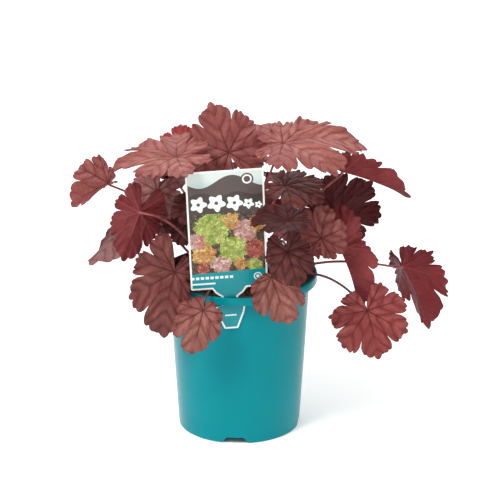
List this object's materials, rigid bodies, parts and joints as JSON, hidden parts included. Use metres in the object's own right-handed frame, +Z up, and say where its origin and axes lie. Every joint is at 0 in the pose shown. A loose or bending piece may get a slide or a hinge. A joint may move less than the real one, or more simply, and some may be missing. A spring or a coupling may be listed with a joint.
{
  "type": "heuchera plant",
  "caption": "Heuchera plant with dusty rose and burgundy lobed leaves, growing in a round teal nursery pot with a printed picture label",
  "frame": {"origin": "middle of the pot's underside, on its axis", "axes": "+Z up along the pot's axis; the label and the front face -Y; +X to the viewer's right"},
  "size_m": [0.3353, 0.2441, 0.299],
  "materials": {
    "pot": "semi-gloss teal",
    "potting_mix": "matt, dark bark and peat",
    "crown": "matt, scaly brown",
    "label": "printed, satin",
    "leaf": "satin, dusty rose above, burgundy below"
  },
  "bodies": {
    "root": {"crown": "crown", "label": "label", "leaf_back_low_1": "leaf", "leaf_back_low_2": "leaf", "leaf_back_low_3": "leaf", "leaf_back_low_4": "leaf", "leaf_back_middle_1": "leaf", "leaf_back_middle_2": "leaf", "leaf_back_middle_3": "leaf", "leaf_back_middle_4": "leaf", "leaf_back_middle_5": "leaf", "leaf_back_top_1": "leaf", "leaf_back_top_2": "leaf", "leaf_back_top_3": "leaf", "leaf_behind_label_lower": "leaf", "leaf_behind_label_upper": "leaf", "leaf_far_left": "leaf", "leaf_front_left": "leaf", "leaf_front_right": "leaf", "leaf_front_right_upper": "leaf", "leaf_left": "leaf", "leaf_left_folded": "leaf", "leaf_left_inner": "leaf", "leaf_left_inner_back": "leaf", "leaf_left_shaded": "leaf", "leaf_low_far_right": "leaf", "leaf_low_front_left": "leaf", "leaf_low_right": "leaf", "leaf_over_label": "leaf", "leaf_right_dark": "leaf", "leaf_right_folded": "leaf", "leaf_right_hanging": "leaf", "leaf_right_inner": "leaf", "leaf_right_middle": "leaf", "leaf_top": "leaf", "leaf_top_left_back": "leaf", "leaf_top_right_back": "leaf", "leaf_upper_left": "leaf", "leaf_upper_right": "leaf", "pot": "pot", "soil": "potting_mix"}
  },
  "joints": []
}
